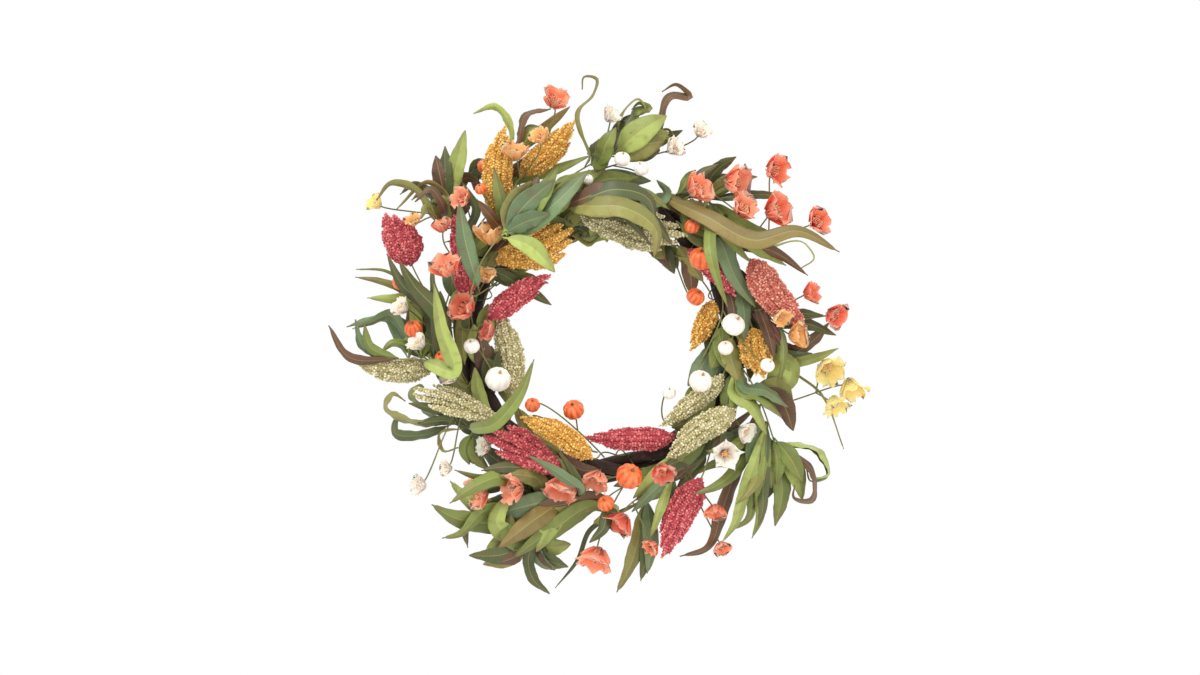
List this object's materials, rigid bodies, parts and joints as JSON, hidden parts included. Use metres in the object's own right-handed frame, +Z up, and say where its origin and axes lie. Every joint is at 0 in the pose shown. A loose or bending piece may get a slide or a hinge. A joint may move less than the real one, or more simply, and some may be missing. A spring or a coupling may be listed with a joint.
{
  "type": "harvest door wreath",
  "caption": "Round autumn door wreath: twisted vine ring wound with wire that holds millet heads, little pumpkins, blossoms and curling leaves, with a wire hanger loop.",
  "frame": {"origin": "the point that a door hook holds: the top of the hanger loop's eye, behind the top of the ring", "axes": "+X to the right as seen from the front, +Z up, -Y towards the viewer, +Y towards the door"},
  "size_m": [0.6041, 0.1236, 0.5841],
  "materials": {
    "bark": "rough dark vine bark",
    "wire": "dark green painted florist wire",
    "gold": "flocked seed beads, golden ochre",
    "red": "flocked seed beads, dusty crimson",
    "pink": "flocked seed beads, faded coral pink",
    "cream": "flocked seed beads, cream and olive",
    "orange": "waxed foam pumpkin skin, bright orange",
    "white": "waxed foam pumpkin skin, off-white",
    "coral": "crinkled fabric petals, coral",
    "apricot": "crinkled fabric petals, apricot",
    "yellow": "crinkled fabric petals, pale yellow",
    "petal": "crinkled fabric petals, cream",
    "leaf": "pressed fabric leaf, olive green with maroon-brown back"
  },
  "bodies": {
    "root": {"apricot_blossom_pick": "apricot", "binding_wire": "wire", "coral_blossom_pick_1": "coral", "coral_blossom_pick_2": "coral", "coral_blossom_pick_3": "coral", "coral_blossom_pick_4": "coral", "coral_blossom_pick_5": "apricot", "cream_millet_1": "cream", "cream_millet_2": "cream", "cream_millet_3": "cream", "cream_millet_4": "cream", "cream_millet_5": "cream", "cream_millet_6": "cream", "cream_pod_pick": "petal", "dark_red_millet_1": "red", "gold_millet_1": "gold", "gold_millet_2": "gold", "gold_millet_3": "gold", "gold_millet_4": "gold", "gold_millet_5": "gold", "gold_millet_6": "gold", "hanger_staple": "wire", "leaf_spray_1": "leaf", "leaf_spray_10": "leaf", "leaf_spray_11": "leaf", "leaf_spray_12": "leaf", "leaf_spray_2": "leaf", "leaf_spray_3": "leaf", "leaf_spray_4": "leaf", "leaf_spray_5": "leaf", "leaf_spray_6": "leaf", "leaf_spray_7": "leaf", "leaf_spray_8": "leaf", "leaf_spray_9": "leaf", "orange_pumpkin_pick_1": "orange", "orange_pumpkin_pick_2": "orange", "orange_pumpkin_pick_3": "orange", "orange_pumpkin_pick_4": "orange", "pink_millet_1": "pink", "red_blossom_pick": "yellow", "red_millet_1": "red", "red_millet_2": "red", "red_millet_3": "red", "red_millet_4": "red", "red_millet_5": "red", "red_millet_6": "red", "vine_cane_1": "bark", "vine_cane_2": "bark", "vine_cane_3": "bark", "white_blossom_pick_1": "petal", "white_blossom_pick_2": "petal", "white_pumpkin_pick_1": "white", "white_pumpkin_pick_2": "white"},
    "hanger_loop": {"hanger_loop": "wire"},
    "coral_trumpet_pick": {"coral_trumpet_pick": "coral"},
    "coral_hanging_pick": {"coral_hanging_pick": "coral"},
    "yellow_blossom_pick": {"yellow_blossom_pick": "yellow"},
    "coral_outer_pick": {"coral_outer_pick": "coral"},
    "orange_pumpkin_inner_pick": {"orange_pumpkin_inner_pick": "orange"},
    "white_pumpkin_inner_pick": {"white_pumpkin_inner_pick": "white"}
  },
  "joints": [
    {"name": "hanger_swing", "type": "hinge", "parent": "root", "child": "hanger_loop", "pos_m": [0, 0, -0.0248], "axis": [1, 0, 0], "range_deg": [-25, 18]},
    {"name": "coral_trumpet_bend", "type": "hinge", "parent": "root", "child": "coral_trumpet_pick", "pos_m": [-0.08479, -0.02432, -0.02993], "axis": [0, 1, 0], "range_deg": [-12, 12]},
    {"name": "coral_hanging_bend", "type": "hinge", "parent": "root", "child": "coral_hanging_pick", "pos_m": [0.02945, -0.02432, -0.34381], "axis": [0, 1, 0], "range_deg": [-12, 12]},
    {"name": "yellow_blossom_bend", "type": "hinge", "parent": "root", "child": "yellow_blossom_pick", "pos_m": [0.15936, -0.02432, -0.2348], "axis": [0, 1, 0], "range_deg": [-8, 8]},
    {"name": "coral_outer_bend", "type": "hinge", "parent": "root", "child": "coral_outer_pick", "pos_m": [0.12991, -0.02432, -0.06779], "axis": [0, 1, 0], "range_deg": [-6, 6]},
    {"name": "orange_pumpkin_inner_bend", "type": "hinge", "parent": "root", "child": "orange_pumpkin_inner_pick", "pos_m": [0.00481, -0.03466, -0.31449], "axis": [0, 1, 0], "range_deg": [-10, 10]},
    {"name": "white_pumpkin_inner_bend", "type": "hinge", "parent": "root", "child": "white_pumpkin_inner_pick", "pos_m": [0.0864, -0.02432, -0.27977], "axis": [0, 1, 0], "range_deg": [-15, 15]}
  ]
}
